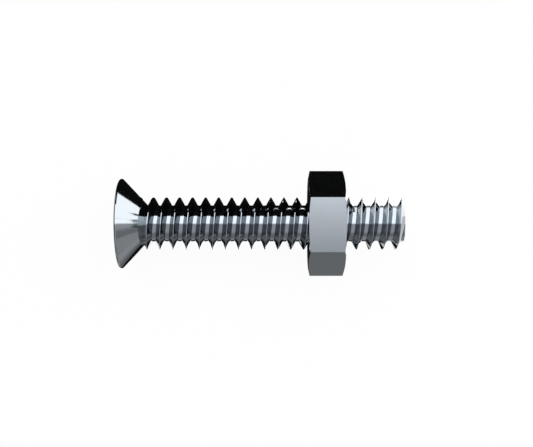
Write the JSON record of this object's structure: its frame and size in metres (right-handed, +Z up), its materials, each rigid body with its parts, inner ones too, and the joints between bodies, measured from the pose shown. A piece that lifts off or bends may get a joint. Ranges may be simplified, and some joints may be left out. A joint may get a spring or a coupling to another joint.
{
  "type": "countersunk bolt with nut",
  "caption": "Countersunk socket bolt threaded along its whole shank, lying on one flat of the hexagon nut that runs on its thread.",
  "frame": {"origin": "centre of the flat head face, on the bolt's axis", "axes": "+X along the bolt's axis from the head to the free end, +Z up, with one flat of the nut facing up and the opposite one down"},
  "size_m": [0.0344, 0.0128, 0.011],
  "materials": {
    "polished_steel": "polished bright steel",
    "nut_steel": "polished bright steel"
  },
  "bodies": {
    "bolt": {"bolt": "polished_steel"},
    "nut": {"nut": "nut_steel"}
  },
  "joints": [
    {"name": "nut_travel", "type": "slide", "parent": "bolt", "child": "nut", "axis": [1, 0, 0], "range_m": [-0.01905, 0.01111]}
  ]
}
